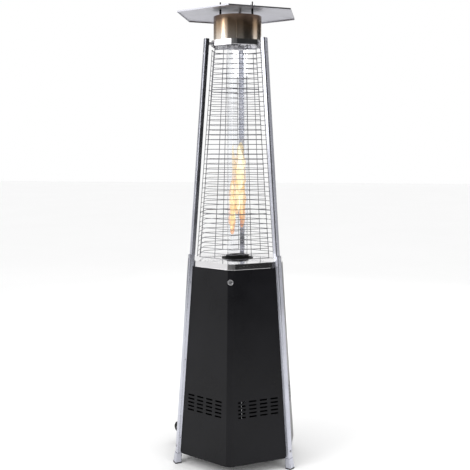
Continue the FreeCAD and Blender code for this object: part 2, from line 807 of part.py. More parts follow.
def tray(low, high, floor, leg_cut, rounding, hole):
    """Upside-down tray: a level top with a tapering skirt and a round hole in its middle."""
    cut = rounding * math.tan(math.radians(30))
    outer = tower(low, high, 0, floor, leg_cut, cut, rounded=True)
    inner = tower(low, high - VALUE["sheet"], VALUE["sheet"], floor, leg_cut, cut, rounded=True)
    return outer.cut(inner).cut(Part.makeCylinder(hole, 60, Vector(0, 0, high - 30)))


def make_deck():
    deck = tray(VALUE["deck_low"], VALUE["deck_high"], "hex_floor", DECK_CUT,
                VALUE["deck_round"], BOWL_NECK)
    for leg in LEGS.values():
        hole = Part.makeCylinder(SCREW_HOLE, 30, Vector(0, 0, DECK_SCREW), -OUT)
        deck = deck.cut(moved(hole, leg_place(leg)))
    keeper_low = 932
    lock_out = hex_radius(VALUE["lock_height"]) - VALUE["bend_cut"] / 2
    keeper_out = lock_out - LOCK_DEEP + 0.9
    keeper_tall = VALUE["deck_high"] - VALUE["sheet"] / 2 - keeper_low
    keeper = block(30, 2, keeper_tall, Vector(0, -keeper_out, keeper_low))
    feature("deck", deck.fuse(keeper).removeSplitter())
    brackets = []
    for leg in LEGS.values():
        seat = (VALUE["leg_floor"] - hex_radius(0) + DECK_CUT / 2 + VALUE["sheet"])
        seat = seat * math.cos(math.radians(VALUE["leg_lean"])) + 0.1
        plate = Part.makeBox(24, 2, 34, Vector(-12, seat, DECK_SCREW - 14))
        hole = Part.makeCylinder(SCREW_HOLE, 30, Vector(0, 0, DECK_SCREW), -OUT)
        shelf = block(24, 24, 2, Vector(0, -hex_radius(DECK_SCREW) + DECK_CUT / 2 + 15,
                                        VALUE["deck_high"] - VALUE["sheet"] - 2))
        plate = moved(plate.cut(hole), leg_place(leg))
        brackets.append(plate.fuse(moved(shelf, spin(leg))).removeSplitter())
    limit = block(900, 900, 60, Vector(0, 0, VALUE["deck_high"] - VALUE["sheet"] - 60))
    group("deck_brackets", [bracket.common(limit) for bracket in brackets])


def make_burner():
    """Burner bowl hung through the deck, perforated burner head, seal, glass and its top ring."""
    top, bowl = dim("deck_high"), dim("bowl_radius")
    low = top - dim("bowl_deep")
    thick = dim("sheet")
    neck = bowl - 12.0
    turned("burner_bowl", [
        (24.0, low), (neck, low), (neck, top), (bowl, top), (bowl, top + 2.0),
        (neck - thick, top + 2.0), (neck - thick, low + thick), (24.0, low + thick)])
    turned("burner_head", [
        (0, low - 22.0), (22.0, low - 22.0), (22.0, low + 40.0), (16.0, low + 46.0), (0, low + 46.0)])
    glass = dim("tube_radius")
    wall = dim("tube_wall")
    seat = top + 2.0
    turned("tube_seat", [
        (glass - 10.0, seat), (glass + 14.0, seat), (glass + 14.0, seat + 2.0),
        (glass + 6.0, seat + 2.0), (glass + 6.0, seat + 12.0), (glass + 3.0, seat + 12.0),
        (glass + 3.0, seat + 2.0), (glass - 10.0, seat + 2.0)])
    turned("tube_seal", [
        (glass - wall, seat + 2.0), (glass + 2.8, seat + 2.0), (glass + 2.8, seat + 10.0),
        (glass + 0.1, seat + 10.0), (glass + 0.1, seat + 5.0), (glass - wall, seat + 5.0)])
    turned("glass_tube", tube_profile(glass - wall, glass, dim("tube_low"), dim("tube_high")))
    frame_top = dim("frame_high")
    turned("tube_collar_ring", [
        (glass + 0.4, frame_top), (glass + 14.0, frame_top), (glass + 14.0, frame_top + 1.5),
        (glass + 2.4, frame_top + 1.5), (glass + 2.4, frame_top + 12.0), (glass + 0.4, frame_top + 12.0)])


def make_ignition():
    """Pilot burner, spark electrode and thermocouple on one bracket beside the burner head."""
    base = VALUE["deck_high"] - VALUE["bowl_deep"] + VALUE["sheet"]
    bracket = block(44, 14, 2, Vector(0, -36, base))
    bracket = bracket.fuse(block(44, 2, 16, Vector(0, -42, base)))
    for x in (-14, 0, 14):
        bracket = bracket.cut(Part.makeCylinder(3.2, 12, Vector(x, -35, base - 4)))
    feature("pilot_bracket", bracket.removeSplitter())
    pilot = Part.makeCylinder(3.1, 26, Vector(0, -35, base))
    hood = Part.makeCylinder(5.0, 8, Vector(0, -35, base + 26))
    hood = hood.cut(Part.makeBox(4, 8, 5, Vector(-2, -41, base + 28)))
    feature("pilot_burner", pilot.fuse(hood).removeSplitter())
    probe = Part.makeCylinder(2.4, 30, Vector(-14, -35, base)).fuse(
        Part.makeSphere(2.4, Vector(-14, -35, base + 30)))
    feature("thermocouple", probe.removeSplitter())
    ceramic = Part.makeCylinder(3.1, 22, Vector(14, -35, base))
    pin = Part.makeCylinder(1.0, 14, Vector(14, -35, base + 22))
    feature("spark_electrode", ceramic.fuse(pin).removeSplitter())


# ---------------------------------------------------------------- controls

def make_controls():
    """Control plate behind the door with the gas valve, its knob and the igniter."""
    out, height = VALUE["panel_out"], VALUE["valve_height"]
    face = block(190, 2, 120, Vector(0, -out, height - 60))
    for x in (-40, 45):
        face = face.cut(Part.makeCylinder(11.5, 20, Vector(x, -out + 10, height), OUT))
    for x in (-94, 94):
        face = face.fuse(block(2, 40, 120, Vector(x, -out + 19, height - 60)))
        hanger = block(2, 40, VALUE["deck_high"] - VALUE["sheet"] - height - 60,
                       Vector(x, -out + 19, height + 60))
        foot_tab = block(16, 40, 2, Vector(x * 0.93, -out + 19,
                                          VALUE["deck_high"] - VALUE["sheet"] - 2))
        face = face.fuse([hanger, foot_tab])
    feature("control_plate", face.removeSplitter())

    body = block(46, 44, 52, Vector(-40, -out + 1 + 22, height - 26))
    neck = Part.makeCylinder(11.0, 6, Vector(-40, -out + 1, height), OUT)
    inlet = Part.makeCylinder(6.6, 30, Vector(-40, -out + 24, height - 26), -UP)
    body = body.fuse([neck, inlet])
    bore = Part.makeCylinder(STEM_RADIUS + VALUE["running"], 24, Vector(-40, -out + 19, height), OUT)
    feature("gas_valve", body.cut(bore).removeSplitter())
    turned("valve_stem", [(0, 0), (STEM_RADIUS, 0), (STEM_RADIUS, 34.0), (0, 34.0)],
           facing(-40, -out + 12, height))
    knob_low = 13.0
    turned("control_knob", [
        (STEM_RADIUS + 0.05, knob_low), (dim("knob_radius"), knob_low),
        (dim("knob_radius"), knob_low + 4.0), (dim("knob_radius") - 5.0, knob_low + 6.0),
        (dim("knob_radius") - 6.0, knob_low + 20.0), (0, knob_low + 20.0),
        (0, knob_low + 9.6), (STEM_RADIUS + 0.05, knob_low + 9.6)],
        facing(-40, -out, height))

    turned("igniter_body", [
        (0, -30.0), (11.0, -30.0), (11.0, 1.0), (14.0, 1.0), (14.0, 4.0),
        (dim("button_radius") + 0.1, 4.0), (dim("button_radius") + 0.1, -28.0), (0, -28.0)],
        facing(45, -out, height))
    turned("igniter_button", [
        (0, -20.0), (dim("button_radius"), -20.0), (dim("button_radius"), 10.0),
        (dim("button_radius") - 1.5, 11.5), (0, 11.5)], facing(45, -out, height))
    switch = block(30, 22, 26, Vector(72, -out + 12, height - 56))
    edges = [e for e in switch.Edges if abs(e.tangentAt(0).z) > 0.9]
    feature("tilt_switch", switch.makeFillet(3.0, edges))


def make_pipes():
    """Rigid gas pipes and leads from the controls up to the burner."""
    out, height = VALUE["panel_out"], VALUE["valve_height"]
    low = VALUE["deck_high"] - VALUE["bowl_deep"]
    top = height + 26
    back = -out + 36
    feature("burner_pipe", pipe([
        Vector(-50, back, top), Vector(-50, back, top + 22), Vector(-39, back + 24, top + 42),
        Vector(-22, back + 62, top + 40), Vector(0, 0, low - 62), Vector(0, 0, low - 22)], 4.0))
    feature("pilot_pipe", pipe([
        Vector(-32, back, top), Vector(-32, back, top + 22), Vector(-24, back + 20, top + 40),
        Vector(-8, back + 52, top + 54), Vector(0, -40, top + 68), Vector(0, -35, low - 14),
        Vector(0, -35, low)], 2.0))
    feature("thermocouple_lead", pipe([
        Vector(-32, back - 24, top), Vector(-32, back - 24, top + 22),
        Vector(-28, back + 2, top + 42), Vector(-20, back + 40, top + 56),
        Vector(-15, -44, top + 68), Vector(-14, -35, low - 14), Vector(-14, -35, low)], 1.0))
    feature("ignition_lead", pipe([
        Vector(45, -out + 30, height), Vector(45, -out + 52, height),
        Vector(38, -out + 74, height + 24), Vector(24, -58, height + 66),
        Vector(15, -40, height + 88), Vector(14, -35, low - 14), Vector(14, -35, low)], 1.5))


# ---------------------------------------------------------------- top

def make_top_frame():
    frame = tray(VALUE["frame_low"], VALUE["frame_high"], "frame_hex", FRAME_CUT,
                 VALUE["frame_round"], VALUE["tube_radius"] + 3)
    for leg in LEGS.values():
        hole = Part.makeCylinder(BOLT_HOLE, 90, Vector(0, 0, POST_BOLTS[1]), -OUT)
        frame = frame.cut(moved(hole, leg_place(leg)))
        stud = Part.makeCylinder(VALUE["stud_radius"] + 0.1, 40, Vector(0, -VALUE["stud_ring"], 2030))
        frame = frame.cut(moved(stud, spin(leg)))
    feature("top_frame", frame.removeSplitter())


def make_collar():
    """Chimney collar with a turned-in foot, standing on the top frame and lipped at its top."""
    outer, low, high = dim("collar_radius"), dim("frame_high"), dim("collar_high")
    turned("collar", [
        (outer - 10.0, low), (outer, low), (outer, high), (outer - 3.0, high),
        (outer - 3.0, high - 1.0), (outer - 1.0, high - 1.0), (outer - 1.0, low + 1.0),
        (outer - 10.0, low + 1.0)])


def reflector_height(radius):
    """Height of the reflector's top surface along a corner ridge."""
    fall = (VALUE["apex_height"] - VALUE["rim_height"]) / VALUE["rim_radius"]
    return VALUE["apex_height"] - fall * radius


def make_reflector():
    """Six-sided shallow cone of sheet with a turned-down rim, on three studs."""
    def cone(top, radius, rim):
        ring = [Vector(radius * math.sin(math.radians(a)), -radius * math.cos(math.radians(a)), rim)
                for a in range(0, 360, 60)]
        apex = Vector(0, 0, top)
        faces = [Part.Face(loop([a, b, apex])) for a, b in zip(ring, ring[1:] + ring[:1])]
        skirt_low = [Vector(p.x, p.y, rim - RIM_LIP) for p in ring]
        pairs = list(zip(ring, skirt_low))
        faces += [Part.Face(loop([a, c, d, b])) for (a, c), (b, d) in zip(pairs, pairs[1:] + pairs[:1])]
        faces.append(Part.Face(loop(skirt_low)))
        shell = Part.makeShell(faces)
        shell.sewShape()
        solid = Part.makeSolid(shell)
        if solid.Volume < 0:
            solid.reverse()
        return solid

    thick = VALUE["sheet"]
    apex, rim, radius = VALUE["apex_height"], VALUE["rim_height"], VALUE["rim_radius"]
    shade = cone(apex, radius, rim).cut(cone(apex - thick, radius - thick / COS30, rim - thick))
    for leg in LEGS.values():
        hole = Part.makeCylinder(VALUE["stud_radius"] + 0.1, 60, Vector(0, -VALUE["stud_ring"], 2150))
        shade = shade.cut(moved(hole, spin(leg)))
    feature("reflector", shade.removeSplitter())


def make_studs():
    """Long studs from the top frame to the reflector, their spacer tubes and wing nuts."""
    ring, radius = VALUE["stud_ring"], VALUE["stud_radius"]
    low = VALUE["frame_high"] - VALUE["sheet"]
    seat = reflector_height(ring)
    under = seat - VALUE["sheet"] - 1.0
    studs, spacers, wings = [], [], []
    for angle in LEGS.values():
        foot = Vector(0, -ring, low - 6)
        stud = Part.makeCylinder(radius, VALUE["stud_top"] - low + 6, foot)
        studs.append(moved(stud, spin(angle)))
        foot = Vector(0, -ring, VALUE["frame_high"])
        spacer = Part.makeCylinder(5.0, under - VALUE["frame_high"], foot)
        spacer = spacer.cut(Part.makeCylinder(radius + 0.05, 300, foot))
        spacers.append(moved(spacer, spin(angle)))
        hub = Part.makeCone(8.0, 5.0, 9, Vector(0, -ring, seat + 1.6))
        wing = block(34, 3, 8, Vector(0, -ring, seat + 5))
        wing = wing.fuse([block(7, 3, 10, Vector(s * 14, -ring, seat + 10)) for s in (-1, 1)])
        wing = wing.fuse(hub).cut(Part.makeCylinder(radius + 0.05, 60, Vector(0, -ring, seat)))
        wings.append(moved(wing.removeSplitter(), spin(angle)))
    group("reflector_studs", studs)
    group("stud_spacers", spacers)
    group("wing_nuts", wings)


# ---------------------------------------------------------------- guards

def guard_radius(height):
    return VALUE["guard_floor"] - VALUE["guard_taper"] * height


def half_grille(side):
    """One flat half of a guard: level wires from the bend to the post, and two uprights."""
    rise = (VALUE["guard_high"] - VALUE["guard_low"]) / (GUARD_WIRES - 1)
    clear = VALUE["leg_wide"] / 2 / COS30 + 2

    def spot(height, along):
        """Point on the half face, along from the bend (0) towards the post (1)."""
        radius = guard_radius(height)
        bend = Vector(0, -radius, height)
        corner = spin(side * 60).multVec(bend)
        reach = (radius - clear) / radius * along
        return bend + (corner - bend) * reach

    wires = []
    for index in range(GUARD_WIRES):
        height = VALUE["guard_low"] + rise * index
        radius = VALUE["rod_radius"] if index in THICK_WIRES else VALUE["wire_radius"]
        start = spot(height, 0)
        wires.append(rod(radius, start - (spot(height, 1) - start) * 0.02, spot(height, 1)))
    low, high = VALUE["guard_low"], VALUE["guard_high"]
    for along in (0.52, 0.985):
        wires.append(rod(VALUE["wire_radius"], spot(low, along), spot(high, along)))
    grille = wires[0].fuse(wires[1:])
    keep = Part.makeBox(400, 800, 1200, Vector(0 if side > 0 else -400, -500, 1000))
    return grille.common(keep)


def make_guards():
    halves = [half_grille(-1), half_grille(1)]
    for name, angle in BENDS.items():
        group(f"guard_{name}", [moved(half, spin(angle)) for half in halves])


# ---------------------------------------------------------------- wheels

def wheel_place(side=0.0, out=None):
    """Frame at the transport wheels' axle: Z along the axle, at the rear-left bend."""
    place = Vector(side, -(out or VALUE["wheel_out"]), VALUE["wheel_height"])
    return spin(BENDS["rear_left"]) * Placement(place, Rotation(Vector(0, 1, 0), 90))


def make_wheels():
    half, side, axle = VALUE["wheel_wide"] / 2, VALUE["wheel_side"], VALUE["axle_radius"]
    rim, wide, bore = dim("wheel_radius"), dim("wheel_wide") / 2, dim("axle_radius") + 0.08
    for name, sign in (("left", -1), ("right", 1)):
        turned(f"wheel_{name}", [
            (bore, -wide), (12.0, -wide), (12.0, -wide + 3.0), (rim - 8.0, -wide + 3.0),
            (rim - 8.0, -wide), (rim - 2.0, -wide), (rim, -wide + 2.0), (rim, wide - 2.0),
            (rim - 2.0, wide), (rim - 8.0, wide), (rim - 8.0, wide - 3.0), (12.0, wide - 3.0),
            (12.0, wide), (bore, wide)], wheel_place(sign * side))
    reach = side + half + 8
    feature("wheel_axle", Part.makeCylinder(axle, 2 * reach, Vector(0, 0, -reach)), wheel_place())
    caps = []
    for sign in (-1, 1):
        cap = Part.makeCylinder(8.0, 5, Vector(0, 0, side + half + 1.0))
        cap = cap.cut(Part.makeCylinder(axle, 5, Vector(0, 0, side + half + 1.0)))
        turn = Placement(Vector(), Rotation(Vector(1, 0, 0), 0 if sign > 0 else 180))
        caps.append(moved(cap, wheel_place() * turn))
    group("axle_caps", caps)

    low, top = 44.0, VALUE["floor_plate"]
    out = VALUE["wheel_out"]
    start, end = 236.0, out + 14
    arm = block(60, end - start, 3, Vector(0, -(start + end) / 2, low))
    riser = block(60, 30, top - low, Vector(0, -start - 15, low))
    shape = arm.fuse(riser)
    for x in (-26, 26):
        ear = block(3, 28, VALUE["wheel_height"] - low, Vector(x, -out, low))
        boss = Part.makeCylinder(14, 3, Vector(x - 1.5, -out, VALUE["wheel_height"]), Vector(1, 0, 0))
        hole = Part.makeCylinder(axle + VALUE["running"], 10,
                                 Vector(x - 5, -out, VALUE["wheel_height"]), Vector(1, 0, 0))
        shape = shape.fuse([ear, boss]).cut(hole)
    feature("wheel_bracket", shape.removeSplitter(), spin(BENDS["rear_left"]))


# ---------------------------------------------------------------- build

def build():
    for side, angle in LEGS.items():
        make_leg(side, angle)
        make_post(side, angle)
    make_joiners()
    group("foot_shoes", [foot_shoe(angle) for angle in LEGS.values()])
    group("foot_pads", [foot_pad(angle) for angle in LEGS.values()])
    make_floor_plate()
    make_cylinder_stops()
    make_side_panels()
    make_door()
    make_lock()
    make_deck()
    make_burner()
    make_ignition()
    make_controls()
    make_pipes()
    make_top_frame()
    make_collar()
    make_reflector()
    make_studs()
    make_guards()
    make_fasteners()
    make_panel_screws()
    make_wheels()
    doc.recompute()


def check():
    """Stops before anything is written if an object failed or a shape is unsound."""
    for thing in doc.Objects:
        bad = {"Invalid", "Error"} & set(thing.State)
        if bad:
            raise RuntimeError(f"{thing.Label}: {bad}")
    for part in parts:
        shape = part.Shape
        if shape.isNull() or not shape.isValid() or not shape.Solids or shape.Volume <= 0:
            raise RuntimeError(f"{part.Label}: unsound shape")


def export():
    os.makedirs("parts", exist_ok=True)
    for part in parts:
        part.Shape.exportStep(os.path.join("parts", f"{part.Label}.step"))
    print(f"{len(parts)} sub-parts written")


build()
check()
export()
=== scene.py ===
import json
import math

import bmesh
import bpy
from mathutils import Matrix, Vector, noise


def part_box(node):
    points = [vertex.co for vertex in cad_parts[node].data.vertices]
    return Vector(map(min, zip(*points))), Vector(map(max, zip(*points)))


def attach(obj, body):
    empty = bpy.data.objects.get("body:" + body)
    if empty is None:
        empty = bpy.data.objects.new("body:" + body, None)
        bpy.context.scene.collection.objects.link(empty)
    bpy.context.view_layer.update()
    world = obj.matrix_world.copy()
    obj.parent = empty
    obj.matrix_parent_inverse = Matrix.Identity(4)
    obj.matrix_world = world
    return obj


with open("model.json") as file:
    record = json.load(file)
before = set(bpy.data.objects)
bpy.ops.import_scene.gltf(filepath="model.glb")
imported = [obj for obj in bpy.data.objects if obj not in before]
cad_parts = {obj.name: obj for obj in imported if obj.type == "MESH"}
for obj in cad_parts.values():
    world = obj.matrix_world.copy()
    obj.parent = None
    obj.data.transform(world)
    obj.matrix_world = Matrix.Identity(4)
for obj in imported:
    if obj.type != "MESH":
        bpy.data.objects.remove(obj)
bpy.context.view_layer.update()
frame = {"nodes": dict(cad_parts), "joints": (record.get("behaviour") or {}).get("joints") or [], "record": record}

NODES = frame["nodes"]
RECORD = frame["record"]
TURN = 2 * math.pi

# ---------------------------------------------------------------- camera

CAMERA_PLACE = (0.4997, -3.8110, 1.5459)
CAMERA_PITCH = 83.58
CAMERA_HEADING = 7.65
CAMERA_LENS = 60.1
SENSOR = 36.0


def make_camera():
    data = bpy.data.cameras.new("camera")
    data.lens = CAMERA_LENS
    data.sensor_width = SENSOR
    camera = bpy.data.objects.new("camera", data)
    camera.location = CAMERA_PLACE
    camera.rotation_euler = (math.radians(CAMERA_PITCH), 0, math.radians(CAMERA_HEADING))
    bpy.context.scene.collection.objects.link(camera)
    bpy.context.scene.camera = camera


# ---------------------------------------------------------------- node helpers

# where most of a noise node's values lie
NOISE_LOW = 0.3
NOISE_HIGH = 0.7


class Nodes:
    """A material's node tree, with short calls for the nodes that these materials use."""

    def __init__(self, name):
        self.material = bpy.data.materials.new(name)
        self.material.use_nodes = True
        self.tree = self.material.node_tree
        self.tree.nodes.clear()
        self.out = self.add("ShaderNodeOutputMaterial")
        self.shader = self.add("ShaderNodeBsdfPrincipled")
        self.link(self.shader.outputs[0], self.out.inputs["Surface"])
        self.place = self.add("ShaderNodeTexCoord").outputs["Object"]

    def add(self, kind, **settings):
        node = self.tree.nodes.new(kind)
        for key, value in settings.items():
            setattr(node, key, value)
        return node

    def link(self, start, end):
        self.tree.links.new(start, end)

    def set(self, **values):
        for key, value in values.items():
            self.shader.inputs[key.replace("_", " ")].default_value = value

    def stretched(self, scale):
        mapping = self.add("ShaderNodeMapping")
        mapping.inputs["Scale"].default_value = scale
        self.link(self.place, mapping.inputs["Vector"])
        return mapping.outputs[0]

    def noise(self, scale, detail, stretch=None, rough=0.55):
        node = self.add("ShaderNodeTexNoise")
        node.inputs["Scale"].default_value = scale
        node.inputs["Detail"].default_value = detail
        node.inputs["Roughness"].default_value = rough
        vector = self.stretched(stretch) if stretch else self.place
        self.link(vector, node.inputs["Vector"])
        return node.outputs["Fac"]

    def spots(self, scale):
        node = self.add("ShaderNodeTexVoronoi")
        node.inputs["Scale"].default_value = scale
        self.link(self.place, node.inputs["Vector"])
        return node.outputs["Distance"]

    def height(self):
        split = self.add("ShaderNodeSeparateXYZ")
        self.link(self.place, split.inputs[0])
        return split.outputs["Z"]

    def ramp(self, factor, stops):
        node = self.add("ShaderNodeValToRGB")
        elements = node.color_ramp.elements
        while len(elements) < len(stops):
            elements.new(0.5)
        for element, (place, colour) in zip(elements, stops):
            element.position = place
            element.color = (*colour, 1.0)
        self.link(factor, node.inputs[0])
        return node.outputs[0]

    def span(self, factor, low, high, to_low, to_high):
        node = self.add("ShaderNodeMapRange")
        values = (low, high, to_low, to_high)
        for socket, value in zip(("From Min", "From Max", "To Min", "To Max"), values):
            node.inputs[socket].default_value = value
        self.link(factor, node.inputs["Value"])
        return node.outputs[0]

    def sum(self, first, second):
        node = self.add("ShaderNodeMath", operation="ADD")
        self.link(first, node.inputs[0])
        self.link(second, node.inputs[1])
        return node.outputs[0]

    def colour(self, factor, stops):
        self.link(self.ramp(factor, stops), self.shader.inputs["Base Color"])

    def rough(self, factor, low, high):
        spread = self.span(factor, NOISE_LOW, NOISE_HIGH, low, high)
        self.link(spread, self.shader.inputs["Roughness"])

    def bump(self, height, distance, strength):
        node = self.add("ShaderNodeBump")
        node.inputs["Distance"].default_value = distance
        node.inputs["Strength"].default_value = strength
        self.link(height, node.inputs["Height"])
        self.link(node.outputs[0], self.shader.inputs["Normal"])


# ---------------------------------------------------------------- materials


def shades(colour, dark, light):
    """Two stops that vary a colour from dark to light times its own value."""
    low = [min(1.0, part * dark) for part in colour]
    high = [min(1.0, part * light) for part in colour]
    return [(NOISE_LOW, low), (NOISE_HIGH, high)]


def brushed_metal(name, colour, low, high, stretch=(1, 1, 0.02), grain=900, dark=0.86, light=1.1):
    """Metal with faint handling marks and fine scratches, which run along a stretch below 1."""
    m = Nodes(name)
    scratch = m.noise(scale=grain, detail=3, stretch=stretch)
    marks = m.noise(scale=9, detail=5)
    m.set(Metallic=1.0)
    m.colour(marks, shades(colour, dark, light))
    m.rough(m.sum(m.span(scratch, 0, 1, 0, 0.5), m.span(marks, 0, 1, 0, 0.5)), low, high)
    m.bump(scratch, distance=0.00004, strength=0.2)
    return m.material


def polished_metal(name, colour, low=0.04, high=0.16):
    """Mirror metal with cloudy wipe marks and slight waviness."""
    m = Nodes(name)
    wipes = m.noise(scale=14, detail=6, stretch=(1, 1, 0.4))
    waves = m.noise(scale=7, detail=2)
    m.set(Metallic=1.0)
    m.colour(wipes, shades(colour, dark=0.9, light=1.05))
    m.rough(wipes, low, high)
    m.bump(waves, distance=0.0012, strength=0.5)
    return m.material


def tinted_metal(name, low_z, high_z):
    """Polished steel that the flue gas has coloured, straw at the bottom to bronze at the top."""
    m = Nodes(name)
    clouds = m.noise(scale=11, detail=5, stretch=(1, 1, 0.5))
    along = m.span(m.height(), low_z, high_z, 0.0, 0.8)
    tint = m.sum(along, m.span(clouds, 0.2, 0.8, -0.12, 0.22))
    m.set(Metallic=1.0)
    m.colour(tint, [
        (0.0, (0.80, 0.72, 0.64)), (0.28, (0.56, 0.45, 0.35)), (0.55, (0.36, 0.25, 0.16)),
        (0.8, (0.25, 0.17, 0.12)), (1.0, (0.18, 0.13, 0.13))])
    m.rough(clouds, 0.16, 0.28)
    m.bump(m.noise(scale=9, detail=2), distance=0.0010, strength=0.4)
    return m.material


def powder_coat(name, colour, low, high):
    """Baked paint with a fine orange-peel texture and uneven dust."""
    m = Nodes(name)
    peel = m.noise(scale=520, detail=3)
    dusty = m.noise(scale=3.2, detail=6)
    m.set(Metallic=0.0, Specular_IOR_Level=0.2)
    m.colour(dusty, shades(colour, dark=0.75, light=1.6))
    m.rough(m.sum(m.span(dusty, 0, 1, 0, 0.7), m.span(peel, 0, 1, 0, 0.3)), low, high)
    m.bump(peel, distance=0.00012, strength=0.5)
    return m.material


def moulded(name, colour, low=0.35, high=0.55, grain=1400, depth=0.0001):
    """Moulded plastic or rubber with a spark-eroded grain and a little scuffing."""
    m = Nodes(name)
    texture = m.spots(grain)
    scuffs = m.noise(scale=26, detail=6)
    m.colour(scuffs, shades(colour, dark=0.8, light=1.5))
    m.rough(scuffs, low, high)
    m.bump(texture, distance=depth, strength=0.6)
    return m.material


def clear_glass(name):
    """Borosilicate glass with faint wipe marks."""
    m = Nodes(name)
    marks = m.noise(scale=18, detail=6, stretch=(1, 1, 0.3))
    m.set(IOR=1.47, Transmission_Weight=1.0)
    m.colour(marks, [(NOISE_LOW, (0.97, 0.98, 1.0)), (NOISE_HIGH, (1.0, 1.0, 1.0))])
    m.rough(marks, 0.0, 0.03)
    return m.material


def hot_steel(name):
    """Burner steel, sooty grey with blue and straw heat colours."""
    m = Nodes(name)
    clouds = m.noise(scale=55, detail=5)
    m.set(Metallic=1.0)
    m.colour(clouds, [
        (0.25, (0.07, 0.065, 0.07)), (0.45, (0.20, 0.17, 0.16)), (0.6, (0.16, 0.17, 0.24)),
        (0.8, (0.36, 0.30, 0.22))])
    m.rough(clouds, 0.3, 0.6)
    m.bump(m.noise(scale=700, detail=3), distance=0.0001, strength=0.6)
    return m.material


def fire(name, low_z, high_z, stops, strength, thin, dense):
    """Glowing gas, hotter towards its top; thin and dense are its least and greatest cover."""
    m = Nodes(name)
    licks = m.noise(scale=24, detail=4, stretch=(1, 1, 0.28), rough=0.6)
    along = m.span(m.height(), low_z, high_z, -0.15, 0.25)
    heat = m.sum(licks, along)
    glow = m.add("ShaderNodeEmission")
    m.link(m.ramp(heat, stops), glow.inputs["Color"])
    glow.inputs["Strength"].default_value = strength
    clear = m.add("ShaderNodeBsdfTransparent")
    mix = m.add("ShaderNodeMixShader")
    cover = m.ramp(licks, [(0.36, (0, 0, 0)), (0.6, (1, 1, 1))])
    share = m.span(cover, 0.0, 1.0, thin, dense)
    m.link(share, mix.inputs[0])
    m.link(clear.outputs[0], mix.inputs[1])
    m.link(glow.outputs[0], mix.inputs[2])
    m.link(mix.outputs[0], m.out.inputs["Surface"])
    m.tree.nodes.remove(m.shader)
    return m.material


def make_materials():
    """Every slot's material, each with its colour, then its lowest and highest roughness."""
    collar_low, collar_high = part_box("collar")
    return {
        "leg_aluminium": brushed_metal("leg_aluminium", (0.58, 0.59, 0.66), 0.16, 0.28),
        "black_panel": powder_coat("black_panel", (0.0045, 0.0045, 0.0058), 0.24, 0.36),
        "floor_steel": powder_coat("floor_steel", (0.022, 0.022, 0.024), 0.4, 0.6),
        "polished_steel": polished_metal("polished_steel", (0.80, 0.79, 0.80)),
        "heat_tinted_steel": tinted_metal("heat_tinted_steel", collar_low[2], collar_high[2]),
        "reflector_aluminium": brushed_metal(
            "reflector_aluminium", (0.44, 0.44, 0.48), 0.3, 0.46, (0.03, 1, 1), 700),
        "guard_wire": brushed_metal(
            "guard_wire", (0.20, 0.20, 0.22), 0.22, 0.36, (1, 1, 1), 500, 0.7, 1.3),
        "tube_glass": clear_glass("tube_glass"),
        "seal_silicone": moulded("seal_silicone", (0.03, 0.03, 0.03)),
        "burner_black": powder_coat("burner_black", (0.008, 0.008, 0.008), 0.5, 0.7),
        "burner_steel": hot_steel("burner_steel"),
        "electrode_ceramic": moulded("electrode_ceramic", (0.8, 0.77, 0.70), 0.15, 0.3),
        "fastener_steel": brushed_metal(
            "fastener_steel", (0.55, 0.55, 0.57), 0.18, 0.34, (1, 1, 1), 1200),
        "stud_black": powder_coat("stud_black", (0.008, 0.008, 0.009), 0.3, 0.5),
        "lock_chrome": polished_metal("lock_chrome", (0.74, 0.74, 0.76), 0.12, 0.3),
        "valve_brass": brushed_metal(
            "valve_brass", (0.72, 0.52, 0.22), 0.22, 0.4, (1, 1, 1), 1500),
        "pipe_aluminium": brushed_metal("pipe_aluminium", (0.66, 0.66, 0.67), 0.25, 0.42),
        "thermo_copper": brushed_metal("thermo_copper", (0.62, 0.28, 0.15), 0.25, 0.42),
        "lead_insulation": moulded("lead_insulation", (0.32, 0.03, 0.02)),
        "black_plastic": moulded("black_plastic", (0.014, 0.014, 0.015), 0.3, 0.5),
        "button_red": moulded("button_red", (0.36, 0.015, 0.012), 0.12, 0.25),
        "wheel_rubber": moulded("wheel_rubber", (0.014, 0.014, 0.014), 0.5, 0.75, 900, 0.0002),
        "foot_rubber": moulded("foot_rubber", (0.012, 0.012, 0.012), 0.55, 0.8, 900, 0.0002),
    }


def dress_nodes(materials):
    """Gives every CAD node its slot's material and smooth shading."""
    for entry in RECORD["subparts"]:
        mesh = NODES[entry["node"]].data
        mesh.materials.clear()
        mesh.materials.append(materials[entry["material_slot"]])
        mesh.polygons.foreach_set("use_smooth", [True] * len(mesh.polygons))
        mesh.update()


# ---------------------------------------------------------------- mesh helpers


def add_piece(name, mesh, body, material, smooth=False):
    """A new object from a bmesh, dressed and riding on a body."""
    data = bpy.data.meshes.new(name)
    bmesh.ops.recalc_face_normals(mesh, faces=mesh.faces)
    mesh.to_mesh(data)
    mesh.free()
    for polygon in data.polygons:
        polygon.use_smooth = smooth
    piece = bpy.data.objects.new(name, data)
    bpy.context.scene.collection.objects.link(piece)
    data.materials.append(material)
    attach(piece, body)
    return piece


def loft(mesh, rings, capped=True):
    """Skins closed rings of equal length, with a cap over each end if capped."""
    rows = [[mesh.verts.new(point) for point in ring] for ring in rings]
    count = len(rows[0])
    for low, high in zip(rows, rows[1:]):
        for i in range(count):
            j = (i + 1) % count
            mesh.faces.new((low[i], low[j], high[j], high[i]))
    if capped:
        mesh.faces.new(list(reversed(rows[0])))
        mesh.faces.new(rows[-1])


